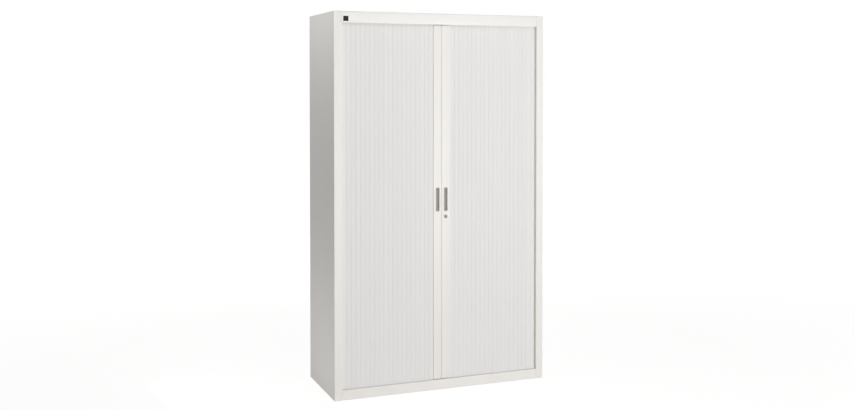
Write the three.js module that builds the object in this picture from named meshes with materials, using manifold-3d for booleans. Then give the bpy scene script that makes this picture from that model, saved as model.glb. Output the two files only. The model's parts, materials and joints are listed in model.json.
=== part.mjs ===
// A tall steel cupboard with two tambour doors. Each door is a curtain of upright slats, led by a
// stiff stile with a finger grip, that slides along a front track, round the front corner, back
// along the side and a little way behind the false back.
// Millimetres, +Z up, the doors face -Y, and the origin is on the floor under the middle.

import * as THREE from 'three';
import { mergeVertices } from 'three/addons/utils/BufferGeometryUtils.js';
import Module from 'manifold-3d';

const wasm = await Module();
wasm.setup();

// Outer size and steel
const cabinet_width = 1180;
const cabinet_depth = 485;
const cabinet_height = 1980;
const steel = 0.8;
const fold_radius = 1.6;
const seat = 0.3;
const overrun = 5;

// Front frame
const jamb_width = 40;
const jamb_hem = 6;
const header_height = 58;
const rail_height = 53;
const lip = 9;
const frame_return = 20;
const rear_flange = 30;
const end_flange = 11;

// Route of each curtain, measured to the middle of its slats
const curtain_setback = 20;
const pocket_setback = 11;
const rear_setback = 27;
const corner_radius = 40;
const rear_run = 132;
const rear_stop_wall = 5;

// Tracks
const track_half_width = 8;
const groove_half_width = 4.6;
const track_height = 14;
const groove_depth = 12;

// Slats and the knuckles that link them
const slat_pitch = 25;
const slat_gap = 1.2;
const slat_crest = 3.4;
const slat_shoulder = 2.6;
const slat_back = 1.6;
const slat_back_inset = 2.2;
const knuckle_radius = 1.8;
const knuckle_setback = 1.2;
const hem_length = 7.4;
const hem_half_thickness = 2.8;
const curtain_tail = 42;

// Lead stile of each door
const stile_width = 46;
const stile_depth = 35;
const stile_setback = 12.5;
const stile_wall = 1.5;
const stile_inner_round = 2.4;
const stile_outer_round = 10;
const stile_end_gap = 3;
const meeting_gap = 2;
const hem_slot_depth = 7;
const hem_slot_clearance = 0.8;

// Glide shoes in the stile ends
const shoe_plug = 26;
const shoe_collar = 2;
const tongue_length = 30;
const tongue_half_thickness = 3.6;

// Finger grips
const grip_width = 20;
const grip_height = 124;
const grip_depth = 15;
const grip_rim = 1.2;
const grip_rim_width = 2.2;
const grip_wall = 1.3;
const grip_corner = 3;
const grip_from_meeting = 22;
const grip_centre_height = 1004;
const grip_draft = 2;

// Cam lock in the right stile
const lock_from_meeting = 21;
const lock_height = 913;
const lock_rim_radius = 10;
const lock_rim = 2.4;
const lock_body_radius = 8.5;
const lock_body_length = 17;
const lock_core_radius = 6;
const lock_core_recess = 0.6;
const key_slot_width = 1.5;
const key_slot_length = 7.5;
const key_slot_depth = 5;
const lock_nut_flats = 24;
const lock_nut_thickness = 5;
const drive_square = 6;
const hook_reach = 36;
const hook_width = 10;
const hook_barb = 5;
const hook_barb_length = 8;
const hook_plate = 2.5;
const hook_play = 1.2;
const hook_screw_radius = 4.4;
const hook_screw_head = 2.2;
const keeper_plate = 2;
const keeper_height = 66;
const keeper_depth = 24;

// Lining, shelves and their supports
const liner_setback = 25;
const liner_chamfer = 16;
const liner_lap = 12;
const upright_width = 26;
const upright_depth = 6;
const upright_inset = 62;
const slot_pitch = 50;
const slot_width = 3;
const slot_height = 12;
const slot_end_margin = 38;
const shelf_edge = 25;
const shelf_edge_return = 12;
const shelf_front_gap = 14;
const shelf_place_shares = [0.2, 0.4, 0.6, 0.8];
const bracket_leg = 22;
const bracket_sheet = 1.5;
const bracket_hook = 5;
const bracket_hook_height = 9;
const bracket_hook_thickness = 2.2;

// Base, back and feet
const swage_count = 2;
const swage_width = 60;
const swage_depth = 6;
const swage_slope = 8;
const channel_width = 56;
const foot_stand = 1;
const foot_radius = 17;
const foot_thickness = 8;
const foot_chamfer = 0.8;
const foot_neck = 1.6;
const foot_stem_radius = 5;
const foot_stem_gap = 4;
const foot_nut_flats = 17;
const foot_nut_height = 8;
const foot_from_end = 58;

// Steps that draw the round forms, and the sides of a nut
const corner_steps = 8;
const fold_steps = 2;
const crest_steps = 6;
const knuckle_steps = 4;
const stile_steps = 6;
const round_steps = 24;
const nut_sides = 6;

// Places worked out from the sizes above
const half_width = cabinet_width / 2;
const front = -cabinet_depth / 2;
const back = cabinet_depth / 2;
const panel_top = cabinet_height - steel - seat;
const header_low = cabinet_height - header_height;
const curtain_line = front + curtain_setback;
const pocket_line = half_width - pocket_setback;
const rear_line = back - rear_setback;
const return_end = curtain_line - track_half_width - seat;
const hem_end = front + jamb_hem;
const rail_half = half_width - jamb_width - seat;
const same_place = seat / 10;
const lower_track_top = rail_height - steel;
const lower_track_base = lower_track_top - track_height;
const deck_top = lower_track_base - seat;
const upper_track_base = header_low + steel + seat;
const upper_track_top = upper_track_base + track_height;
const ceiling_base = upper_track_top + seat;
const curtain_bottom = lower_track_top - groove_depth + seat;
const curtain_top = upper_track_base + groove_depth - seat * 2;
const stile_bottom = rail_height + stile_end_gap;
const stile_top = header_low - stile_end_gap;
const stile_face = front + stile_setback;
const stile_rear = stile_face + stile_depth;
const stile_inner = meeting_gap / 2;
const stile_outer = stile_inner + stile_width;
const hem_slot_floor = stile_outer - hem_slot_depth;
const hem_slot_half = hem_half_thickness + hem_slot_clearance;
const hem_slot_front = curtain_line - hem_slot_half;
const hem_slot_rear = curtain_line + hem_slot_half;
const stile_round = Math.min(stile_outer_round, hem_slot_front - stile_wall - seat - stile_face);
const liner_line = half_width - liner_setback;
const liner_front = curtain_line + corner_radius - liner_chamfer / 2;
const liner_rear = rear_line - corner_radius + liner_chamfer / 2;
const room_floor = deck_top + seat;
const room_ceiling = ceiling_base - seat;

const white = { color: 0xf1efec, roughness: 0.42, metalness: 0 };
const slat_white = { color: 0xe9e8e6, roughness: 0.55, metalness: 0 };
const inner_white = { color: 0xe4e3e0, roughness: 0.5, metalness: 0 };
const track_grey = { color: 0xd2d2d0, roughness: 0.6, metalness: 0 };
const grip_grey = { color: 0x9b9893, roughness: 0.4, metalness: 0.2 };
const nickel = { color: 0xc4c4c2, roughness: 0.25, metalness: 1 };
const zinc = { color: 0xb4b6b8, roughness: 0.4, metalness: 1 };
const black_plastic = { color: 0x2a2a2b, roughness: 0.6, metalness: 0 };

// A flat line of straight legs with round corners, measured from its start. Its normal points to
// the left of the way it runs, or to the right where the hand is -1.
class Route {
  constructor(corners, radius, hand = 1) {
    this.hand = hand;
    this.legs = [];
    this.length = 0;
    let here = corners[0];
    for (let i = 1; i < corners.length - 1; i += 1) {
      const way_in = corners[i].clone().sub(corners[i - 1]).normalize();
      const way_out = corners[i + 1].clone().sub(corners[i]).normalize();
      const turn = Math.atan2(way_in.cross(way_out), way_in.dot(way_out));
      const cut = radius * Math.tan(Math.abs(turn) / 2);
      const start = corners[i].clone().addScaledVector(way_in, -cut);
      this.addStraight(here, start);
      this.addBend(start, way_in, radius, turn);
      here = corners[i].clone().addScaledVector(way_out, cut);
    }
    this.addStraight(here, corners[corners.length - 1]);
  }

  addStraight(start, end) {
    const length = start.distanceTo(end);
    const way = end.clone().sub(start).normalize();
    this.legs.push({ from: this.length, length, start: start.clone(), way, turn: 0 });
    this.length += length;
  }

  addBend(start, way, radius, turn) {
    const sign = Math.sign(turn);
    const centre = new THREE.Vector2(-way.y, way.x).multiplyScalar(radius * sign).add(start);
    const length = radius * Math.abs(turn);
    this.legs.push({ from: this.length, length, start, way, turn, centre });
    this.length += length;
  }

  // The point at a distance along the route, with the way it runs there and its normal.
  at(distance) {
    const last = this.legs[this.legs.length - 1];
    const leg = this.legs.find((one) => distance < one.from + one.length) ?? last;
    const along = distance - leg.from;
    const point = leg.start.clone();
    const way = leg.way.clone();
    if (leg.turn === 0) {
      point.addScaledVector(way, along);
    } else {
      const angle = leg.turn * along / leg.length;
      point.rotateAround(leg.centre, angle);
      way.rotateAround(new THREE.Vector2(), angle);
    }
    const normal = new THREE.Vector2(-way.y, way.x).multiplyScalar(this.hand);
    return { point, way, normal };
  }

  // Distances where a drawn outline needs a point: the ends, the leg ends and steps in each bend.
  stations(from, to, steps) {
    const list = [from];
    for (const leg of this.legs) {
      const count = leg.turn === 0 ? 1 : steps;
      for (let i = 0; i <= count; i += 1) {
        const distance = leg.from + leg.length * i / count;
        const last = list[list.length - 1];
        if (distance > last + same_place && distance < to - same_place) list.push(distance);
      }
    }
    list.push(to);
    return list;
  }
}

function spot(x, y) {
  return new THREE.Vector2(x, y);
}

// The outline of a band that follows a route between two distances and two offsets from it.
function bandShape(route, from, to, outer, inner, steps) {
  const stops = route.stations(from, to, steps).map((distance) => route.at(distance));
  const edge = (offset) => stops.map((stop) => (
    stop.point.clone().addScaledVector(stop.normal, offset)
  ));
  return new THREE.Shape([...edge(outer), ...edge(inner).reverse()]);
}

// The section of a folded sheet whose middle runs through the corners.
function sheetShape(corners, gauge = steel) {
  const route = new Route(corners, fold_radius);
  return bandShape(route, 0, route.length, gauge / 2, -gauge / 2, fold_steps);
}

// An outline with a hole in it: the outline runs counterclockwise, whichever side it is drawn for.
function hollowShape(outline, hole) {
  const turned_over = THREE.ShapeUtils.isClockWise(outline);
  const shape = new THREE.Shape(turned_over ? [...outline].reverse() : outline);
  shape.holes.push(new THREE.Path(hole));
  return shape;
}

function rectangle(x_low, x_high, y_low, y_high) {
  return new THREE.Shape([
    spot(x_low, y_low), spot(x_high, y_low), spot(x_high, y_high), spot(x_low, y_high),
  ]);
}

function roundedRectangle(width, height, radius) {
  const shape = new THREE.Shape();
  const x = width / 2 - radius;
  const y = height / 2 - radius;
  shape.absarc(x, y, radius, 0, Math.PI / 2);
  shape.absarc(-x, y, radius, Math.PI / 2, Math.PI);
  shape.absarc(-x, -y, radius, Math.PI, Math.PI * 1.5);
  shape.absarc(x, -y, radius, Math.PI * 1.5, Math.PI * 2);
  return shape;
}

function nutShape(flats) {
  const radius = flats / 2 / Math.cos(Math.PI / nut_sides);
  const points = [];
  for (let i = 0; i < nut_sides; i += 1) {
    const angle = Math.PI * 2 * i / nut_sides;
    points.push(spot(radius * Math.cos(angle), radius * Math.sin(angle)));
  }
  return new THREE.Shape(points);
}

const axis_x = new THREE.Vector3(1, 0, 0);
const axis_y = new THREE.Vector3(0, 1, 0);
const axis_z = new THREE.Vector3(0, 0, 1);

// A shape pushed along one axis. Along x it is drawn in y and z, along y in x and z, along z in
// x and y.
function prism(shape, axis, from, to, steps = corner_steps) {
  const depth = to - from;
  const options = { depth, bevelEnabled: false, curveSegments: steps };
  const geometry = new THREE.ExtrudeGeometry(shape, options);
  const frame = new THREE.Matrix4();
  if (axis === 'x') frame.makeBasis(axis_y, axis_z, axis_x);
  if (axis === 'y') frame.makeBasis(axis_x, axis_z, axis_y.clone().negate());
  geometry.translate(0, 0, axis === 'y' ? -to : from);
  geometry.applyMatrix4(frame);
  return geometry;
}

// A turned form round the y axis, or round z where it stands up. The profile gives radius and
// place along the axis.
function turned(profile, upright = false) {
  const geometry = new THREE.LatheGeometry(profile, round_steps);
  if (upright) geometry.rotateX(Math.PI / 2);
  return geometry;
}

function toSolid(geometry) {
  const bare = geometry.clone();
  bare.deleteAttribute('normal');
  bare.deleteAttribute('uv');
  const merged = mergeVertices(bare);
  const vertProperties = Float32Array.from(merged.attributes.position.array);
  const corners = merged.index.array;
  const kept = [];
  for (let i = 0; i < corners.length; i += 3) {
    const [a, b, c] = corners.slice(i, i + 3);
    if (a !== b && b !== c && c !== a) kept.push(a, b, c);
  }
  const triVerts = Uint32Array.from(kept);
  return new wasm.Manifold(new wasm.Mesh({ numProp: 3, vertProperties, triVerts }));
}

function toGeometry(solid) {
  const mesh = solid.getMesh();
  const geometry = new THREE.BufferGeometry();
  const places = new Float32Array(mesh.vertProperties);
  geometry.setAttribute('position', new THREE.BufferAttribute(places, 3));
  geometry.setIndex(new THREE.BufferAttribute(new Uint32Array(mesh.triVerts), 1));
  const faceted = geometry.toNonIndexed();
  faceted.computeVertexNormals();
  return faceted;
}

// One body joined from several forms, with others cut out of it.
function shaped(forms, cuts = []) {
  let solid = toSolid(forms[0]);
  for (const form of forms.slice(1)) solid = solid.add(toSolid(form));
  for (const cut of cuts) solid = solid.subtract(toSolid(cut));
  return toGeometry(solid);
}

function addPiece(parent, name, geometry, finish, x = 0, y = 0, z = 0) {
  const mesh = new THREE.Mesh(geometry, new THREE.MeshStandardMaterial(finish));
  mesh.name = name;
  mesh.position.set(x, y, z);
  parent.add(mesh);
  return mesh;
}

const sides = [{ word: 'left', sign: -1 }, { word: 'right', sign: 1 }];

// Side panel: one sheet folded into the jamb and its hem at the front and a flange at the back,
// with flanges turned in at the top and the bottom.
function sidePanel(sign) {
  const x = (inset) => sign * (half_width - inset);
  const section = sheetShape([
    spot(x(jamb_width - steel / 2), hem_end),
    spot(x(jamb_width - steel / 2), front + steel / 2),
    spot(x(steel / 2), front + steel / 2),
    spot(x(steel / 2), back - steel / 2),
    spot(x(rear_flange), back - steel / 2),
  ]);
  const relief = steel / 2 + fold_radius;
  const flange = rectangle(x(steel / 2), x(end_flange), front + relief, back - relief);
  return shaped([
    prism(section, 'z', foot_stand, panel_top),
    prism(flange, 'z', foot_stand, foot_stand + steel),
    prism(flange, 'z', panel_top - steel, panel_top),
  ]);
}

// Top panel: a flat lid over the sides, the header and the back, with round plan corners.
function topPanel() {
  const outline = roundedRectangle(cabinet_width, cabinet_depth, fold_radius + steel / 2);
  return prism(outline, 'z', cabinet_height - steel, cabinet_height, fold_steps);
}

function headerRail() {
  const top = panel_top - steel / 2;
  const low = header_low + steel / 2;
  const section = sheetShape([
    spot(front + frame_return, top),
    spot(front + steel / 2, top),
    spot(front + steel / 2, low),
    spot(return_end - steel / 2, low),
    spot(return_end - steel / 2, low + lip),
  ]);
  return prism(section, 'x', -rail_half, rail_half);
}

function bottomRail() {
  const top = rail_height - steel / 2;
  const low = foot_stand + steel / 2;
  const section = sheetShape([
    spot(front + frame_return, low),
    spot(front + steel / 2, low),
    spot(front + steel / 2, top),
    spot(return_end - steel / 2, top),
    spot(return_end - steel / 2, top - lip),
  ]);
  return prism(section, 'x', -rail_half, rail_half);
}

const back_front = back - steel * 2 - seat;

// A level panel inside the carcass, notched at the front round the hems of the two jambs.
function levelPanel(front_edge, base) {
  const wide = half_width - steel - seat;
  const narrow = rail_half;
  const rear = back_front - swage_depth - seat;
  const behind_hems = hem_end + seat;
  const outline = new THREE.Shape([
    spot(-narrow, front_edge),
    spot(narrow, front_edge),
    spot(narrow, behind_hems),
    spot(wide, behind_hems),
    spot(wide, rear),
    spot(-wide, rear),
    spot(-wide, behind_hems),
    spot(-narrow, behind_hems),
  ]);
  return prism(outline, 'z', base, base + steel);
}

// Back panel: a sheet stiffened by upright swages that stand in towards the false back.
function backPanel() {
  const line = back_front + steel / 2;
  const wide = half_width - steel / 2 - fold_radius;
  const spacing = wide * 2 / (swage_count + 1);
  const corners = [spot(-wide, line)];
  for (let i = 1; i <= swage_count; i += 1) {
    const middle = -wide + spacing * i;
    const half = swage_width / 2;
    corners.push(spot(middle - half - swage_slope, line));
    corners.push(spot(middle - half, line - swage_depth));
    corners.push(spot(middle + half, line - swage_depth));
    corners.push(spot(middle + half + swage_slope, line));
  }
  corners.push(spot(wide, line));
  const low = foot_stand + steel + seat;
  return prism(sheetShape(corners), 'z', low, panel_top - steel - seat);
}

const foot_places = [front + foot_from_end, back - foot_from_end];
const channel_centre = half_width - steel - seat - channel_width / 2;

// Base channel: an inverted channel under each end of the deck, with a nut welded over each foot.
function baseChannel() {
  const top = deck_top - steel - seat;
  const low = foot_stand + steel + seat;
  const half = channel_width / 2 - steel / 2;
  const section = sheetShape([
    spot(-half, low), spot(-half, top - steel / 2), spot(half, top - steel / 2), spot(half, low),
  ]);
  const channel_front = return_end + seat;
  const channel_back = back_front - seat * 2;
  const length_along = prism(section, 'x', channel_front, channel_back);
  length_along.rotateZ(Math.PI / 2);
  const nuts = [];
  const holes = [];
  const nut_base = top - steel - foot_nut_height;
  for (const y of foot_places) {
    const nut = prism(nutShape(foot_nut_flats), 'z', nut_base, top - steel / 2);
    nuts.push(nut.translate(0, y, 0));
    const hole = turned([
      spot(0, low), spot(foot_stem_radius + seat, low),
      spot(foot_stem_radius + seat, top + overrun), spot(0, top + overrun),
    ], true);
    holes.push(hole.translate(0, y, 0));
  }
  return shaped([length_along, ...nuts], holes);
}

// Levelling foot: a threaded stem on a round glide pad with a dished shoulder. The stem ends below
// the deck.
function foot() {
  const stem_top = deck_top - steel - foot_stem_gap;
  return turned([
    spot(0, 0),
    spot(foot_radius - foot_chamfer, 0),
    spot(foot_radius, foot_chamfer),
    spot(foot_radius, foot_thickness / 2),
    spot(foot_stem_radius + foot_neck, foot_thickness),
    spot(foot_stem_radius, foot_thickness + foot_chamfer),
    spot(foot_stem_radius, stem_top - foot_chamfer),
    spot(foot_stem_radius - foot_chamfer, stem_top),
    spot(0, stem_top),
  ], true);
}

// Side liner: a sheet that closes the pocket off from the shelves, splayed at both ends to clear
// the bends of the track, with a lap behind which the false back stands.
function sideLiner(sign) {
  const x = (inset) => sign * (liner_line - inset);
  return prism(sheetShape([
    spot(x(liner_chamfer), liner_front - liner_chamfer),
    spot(x(0), liner_front),
    spot(x(0), liner_rear),
    spot(x(liner_chamfer), liner_rear + liner_chamfer),
    spot(x(liner_chamfer + liner_lap), liner_rear + liner_chamfer),
  ]), 'z', room_floor, room_ceiling);
}

const false_back_front = liner_rear + liner_chamfer + steel / 2 + seat;

function falseBack() {
  const half = liner_line - liner_chamfer - fold_radius;
  const outline = rectangle(-half, half, false_back_front, false_back_front + steel);
  return prism(outline, 'z', room_floor, room_ceiling);
}

// Shelf upright: a shallow hat section on the liner, with a ladder of slots in its face.
const upright_base = liner_line - steel / 2 - seat;
const upright_face = upright_base - upright_depth;
const slot_count = Math.floor((room_ceiling - room_floor - slot_end_margin * 2) / slot_pitch) + 1;
const slot_bottom = room_floor + slot_end_margin;

function upright(sign) {
  const half = upright_width / 2;
  const face = rectangle(-half, half, room_floor, room_ceiling);
  for (let i = 0; i < slot_count; i += 1) {
    const low = slot_bottom + slot_pitch * i;
    const slot = [spot(-slot_width / 2, low), spot(slot_width / 2, low)];
    slot.push(spot(slot_width / 2, low + slot_height), spot(-slot_width / 2, low + slot_height));
    face.holes.push(new THREE.Path(slot));
  }
  const leg = (low, high) => prism(
    rectangle(sign * upright_base, sign * (upright_face + steel / 2), low, high),
    'z', room_floor, room_ceiling,
  );
  const face_inner = sign * upright_face;
  const face_outer = sign * (upright_face + steel);
  return shaped([
    prism(face, 'x', Math.min(face_inner, face_outer), Math.max(face_inner, face_outer)),
    leg(-half, -half + steel),
    leg(half - steel, half),
  ]);
}

const shelf_front = liner_front + shelf_front_gap;
const shelf_rear = liner_rear - seat * 2;
const upright_places = [shelf_front + upright_inset, shelf_rear - upright_inset];

// Each shelf hangs from the slots nearest to its share of the room's height. The hooks stand on
// the lower edges of the slots.
function shelfSlot(share) {
  return Math.round((slot_count - 1) * share);
}

function shelfTop(share) {
  const slot_low = slot_bottom + slot_pitch * shelfSlot(share);
  return slot_low + seat + bracket_hook_height + bracket_sheet + seat + steel;
}

const bracket_back = upright_face - seat;
const shelf_half = bracket_back - bracket_sheet - seat;

// Shelf bracket: an angle along the shelf end, with a hook through a slot of each upright.
function shelfBracket(sign) {
  const top = bracket_hook_height + bracket_sheet;
  const back_x = sign * (bracket_back - bracket_sheet / 2);
  const section = sheetShape([
    spot(back_x, top - bracket_leg),
    spot(back_x, top - bracket_sheet / 2),
    spot(sign * (bracket_back - bracket_leg), top - bracket_sheet / 2),
  ], bracket_sheet);
  const low = shelf_front + steel + seat * 2;
  const high = shelf_rear - steel - seat * 2;
  const hooks = upright_places.map((y) => {
    const half = bracket_hook_thickness / 2;
    const from = sign * (bracket_back - bracket_sheet / 2);
    const to = sign * (bracket_back + bracket_hook);
    return prism(rectangle(from, to, y - half, y + half), 'z', 0, bracket_hook_height);
  });
  return shaped([prism(section, 'y', low, high), ...hooks]);
}

// Shelf: a sheet with its front and rear edges folded down and under.
function shelf() {
  const y_low = shelf_front + steel / 2;
  const y_high = shelf_rear - steel / 2;
  const low = steel / 2 - shelf_edge;
  const top = -steel / 2;
  return prism(sheetShape([
    spot(y_low + shelf_edge_return, low),
    spot(y_low, low),
    spot(y_low, top),
    spot(y_high, top),
    spot(y_high, low),
    spot(y_high - shelf_edge_return, low),
  ]), 'x', -shelf_half, shelf_half);
}

// The route of one curtain, from the middle of the front to the stop behind the false back.
function curtainRoute(sign) {
  return new Route([
    spot(0, curtain_line),
    spot(sign * pocket_line, curtain_line),
    spot(sign * pocket_line, rear_line),
    spot(sign * (pocket_line - corner_radius - rear_run), rear_line),
  ], corner_radius, -sign);
}

// Track: a channel along the whole route, closed at its rear end. The mouth of its groove is at
// the height z = 0 and its floor is above it, or below it where the track lies at the bottom.
function track(sign, floor_sign) {
  const route = curtainRoute(sign);
  const end = route.length;
  const start = meeting_gap / 2;
  const whole = bandShape(route, start, end, track_half_width, -track_half_width, corner_steps);
  const groove = bandShape(
    route, seat, end - rear_stop_wall, groove_half_width, -groove_half_width, corner_steps,
  );
  const range = (reach, extra) => {
    const ends = [floor_sign * reach, -floor_sign * extra];
    return [Math.min(...ends), Math.max(...ends)];
  };
  return shaped(
    [prism(whole, 'z', ...range(track_height, 0))],
    [prism(groove, 'z', ...range(groove_depth, overrun))],
  );
}

// Curtain: upright slats with crowned fronts, each hooked to the next by a round knuckle at the
// back, ending in a flat hem in the stile. The slats stay flat and turn at their knuckles, so the
// outline sets each of them square to the route at its own middle.
function curtain(sign) {
  const route = curtainRoute(sign);
  const body_half = (slat_pitch - slat_gap) / 2;
  const crest = slat_crest - slat_shoulder;
  const run = pocket_line - corner_radius - stile_outer;
  const covered = run + corner_radius * Math.PI / 2 + curtain_tail;
  const slat_count = Math.round(covered / slat_pitch);
  const place = (distance, along, out) => {
    const stop = route.at(distance);
    return stop.point.addScaledVector(stop.way, along).addScaledVector(stop.normal, out);
  };
  const hem_start = stile_outer - hem_length + seat * 2;
  const face = [place(hem_start, 0, hem_half_thickness)];
  const rear = [place(hem_start, 0, -hem_half_thickness)];
  face.push(place(stile_outer, 0, hem_half_thickness));
  rear.push(place(stile_outer, 0, -hem_half_thickness));
  for (let i = 0; i < slat_count; i += 1) {
    const middle = stile_outer + slat_pitch * (i + 1 / 2);
    if (i > 0) {
      const joint = middle - slat_pitch / 2;
      for (let k = 0; k <= knuckle_steps; k += 1) {
        const angle = Math.PI * k / knuckle_steps;
        const along = -knuckle_radius * Math.cos(angle);
        rear.push(place(joint, along, -knuckle_setback - knuckle_radius * Math.sin(angle)));
      }
    }
    face.push(place(middle, -body_half, 0));
    for (let k = 0; k <= crest_steps; k += 1) {
      const across = k / crest_steps * 2 - 1;
      const out = slat_shoulder + crest * (1 - across * across);
      face.push(place(middle, body_half * across, out));
    }
    face.push(place(middle, body_half, 0));
    const flat_half = body_half - slat_back_inset;
    rear.push(place(middle, -flat_half, -slat_back));
    rear.push(place(middle, flat_half, -slat_back));
  }
  const outline = new THREE.Shape([...face, ...rear.reverse()]);
  return prism(outline, 'z', curtain_bottom, curtain_top);
}

// Section of a stile: a tube with soft front corners and a slot in its outer flank for the hem. The
// outer corner is limited by the wall in front of the slot.
function stileSection(sign) {
  const x = (value) => sign * value;
  const shape = new THREE.Shape();
  shape.moveTo(x(stile_inner), stile_rear);
  shape.lineTo(x(stile_outer), stile_rear);
  shape.lineTo(x(stile_outer), hem_slot_rear);
  shape.lineTo(x(hem_slot_floor), hem_slot_rear);
  shape.lineTo(x(hem_slot_floor), hem_slot_front);
  shape.lineTo(x(stile_outer), hem_slot_front);
  shape.lineTo(x(stile_outer), stile_face + stile_round);
  shape.quadraticCurveTo(
    x(stile_outer), stile_face, x(stile_outer - stile_round), stile_face,
  );
  shape.lineTo(x(stile_inner + stile_inner_round), stile_face);
  shape.quadraticCurveTo(
    x(stile_inner), stile_face, x(stile_inner), stile_face + stile_inner_round,
  );
  return hollowShape(shape.getPoints(stile_steps), stileHollow(sign, stile_wall));
}

// The hollow of the stile, which narrows behind the slot of the hem.
function stileHollow(sign, wall) {
  const x = (value) => sign * value;
  const shelf_line = hem_slot_front - wall;
  const hollow = new THREE.Path();
  hollow.moveTo(x(stile_inner + wall), stile_rear - wall);
  hollow.lineTo(x(hem_slot_floor - wall), stile_rear - wall);
  hollow.lineTo(x(hem_slot_floor - wall), shelf_line);
  hollow.lineTo(x(stile_outer - wall), shelf_line);
  hollow.lineTo(x(stile_outer - wall), stile_face + stile_round);
  hollow.quadraticCurveTo(
    x(stile_outer - wall), stile_face + wall,
    x(stile_outer - stile_round), stile_face + wall,
  );
  hollow.lineTo(x(stile_inner + wall), stile_face + wall);
  return hollow.getPoints(stile_steps);
}

const lock_x = stile_inner + lock_from_meeting;
const grip_x = stile_inner + grip_from_meeting;
const hook_line = stile_face + lock_body_length + seat;
const hook_slot_half = hook_plate / 2 + hook_play;
const hook_middle = hook_line + hook_plate / 2;
const hook_slot_top = lock_height + hook_width / 2 + hook_play;
const hook_slot_bottom = lock_height - hook_reach - hook_play;

// The slot in a stile's meeting flank and in the keeper, tall enough for the swing of the hook.
function hookSlot(x_low, x_high) {
  const face = rectangle(
    hook_middle - hook_slot_half, hook_middle + hook_slot_half, hook_slot_bottom, hook_slot_top,
  );
  return prism(face, 'x', x_low, x_high);
}

function stile(sign, has_lock) {
  const window_width = grip_width - grip_rim_width * 2 + seat * 2;
  const window_height = grip_height - grip_rim_width * 2 + seat * 2;
  const window_shape = roundedRectangle(window_width, window_height, grip_corner);
  const cut_end = stile_face + stile_wall + seat;
  const window_cut = prism(window_shape, 'y', stile_face - overrun, cut_end, fold_steps);
  window_cut.translate(sign * grip_x, 0, grip_centre_height);
  const cuts = [window_cut];
  const flank = [sign * (stile_inner - overrun), sign * (stile_inner + stile_wall + seat)];
  cuts.push(hookSlot(Math.min(...flank), Math.max(...flank)));
  if (has_lock) {
    const bore = turned([
      spot(0, stile_face - overrun), spot(lock_body_radius + seat, stile_face - overrun),
      spot(lock_body_radius + seat, cut_end), spot(0, cut_end),
    ]);
    cuts.push(bore.translate(lock_x, 0, lock_height));
  }
  return shaped([prism(stileSection(sign), 'z', stile_bottom, stile_top, fold_steps)], cuts);
}

// Glide shoe: a plug in the end of the stile, a collar over its edge and a tongue in the track.
// It is drawn for the lower end, with the stile's end at z = 0 and the tongue below it.
function glideShoe(sign, tongue_reach, up) {
  const plug = new THREE.Shape(stileHollow(sign, stile_wall + seat));
  const collar = rectangle(
    sign * (stile_inner + stile_wall), sign * (hem_slot_floor - stile_wall),
    stile_face + stile_wall, stile_rear - stile_wall,
  );
  const middle = (stile_inner + hem_slot_floor) / 2;
  const tongue = rectangle(
    sign * (middle - tongue_length / 2), sign * (middle + tongue_length / 2),
    curtain_line - tongue_half_thickness, curtain_line + tongue_half_thickness,
  );
  const span = (low, high) => (up ? [-high, -low] : [low, high]);
  return shaped([
    prism(plug, 'z', ...span(-seat, shoe_plug)),
    prism(collar, 'z', ...span(-shoe_collar - seat, -seat)),
    prism(tongue, 'z', ...span(-tongue_reach, 0)),
  ]);
}

// Finger grip: a moulded cup with a flat rim on the face of the stile and walls that draw in.
function grip() {
  const rim = roundedRectangle(grip_width, grip_height, grip_corner);
  const cup_width = grip_width - grip_rim_width * 2;
  const cup_height = grip_height - grip_rim_width * 2;
  const cup = roundedRectangle(cup_width, cup_height, grip_corner - seat);
  const well = roundedRectangle(
    cup_width - grip_wall * 2, cup_height - grip_wall * 2, grip_corner - grip_wall,
  );
  const well_cut = prism(well, 'y', -grip_rim - overrun, grip_depth - grip_wall, fold_steps);
  const places = well_cut.attributes.position;
  const floor_x_share = 1 - grip_draft * 2 / cup_width;
  const floor_z_share = 1 - grip_draft * 2 / cup_height;
  for (let i = 0; i < places.count; i += 1) {
    if (places.getY(i) > 0) {
      places.setX(i, places.getX(i) * floor_x_share);
      places.setZ(i, places.getZ(i) * floor_z_share);
    }
  }
  return shaped([
    prism(rim, 'y', -grip_rim - seat, -seat, fold_steps),
    prism(cup, 'y', -seat, grip_depth, fold_steps),
  ], [well_cut]);
}

// Lock housing: a rim on the face of the stile and a threaded body behind it, bored for the core.
// It and the other lock pieces are drawn round the y axis with the stile's face at y = 0.
function lockHousing() {
  const bore = lock_core_radius + seat;
  return turned([
    spot(bore, -lock_rim),
    spot(lock_rim_radius - lock_rim / 2, -lock_rim),
    spot(lock_rim_radius, -lock_rim / 2),
    spot(lock_rim_radius, -seat),
    spot(lock_body_radius, -seat),
    spot(lock_body_radius, lock_body_length - seat),
    spot(bore, lock_body_length - seat),
    spot(bore, -lock_rim),
  ]);
}

function lockNut() {
  const nut = nutShape(lock_nut_flats);
  const hole = new THREE.Path();
  hole.absarc(0, 0, lock_body_radius + seat, 0, Math.PI * 2, true);
  nut.holes.push(hole);
  const from = stile_wall + seat;
  return prism(nut, 'y', from, from + lock_nut_thickness, round_steps);
}

function squareShape(side) {
  return rectangle(-side / 2, side / 2, -side / 2, side / 2);
}

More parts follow.
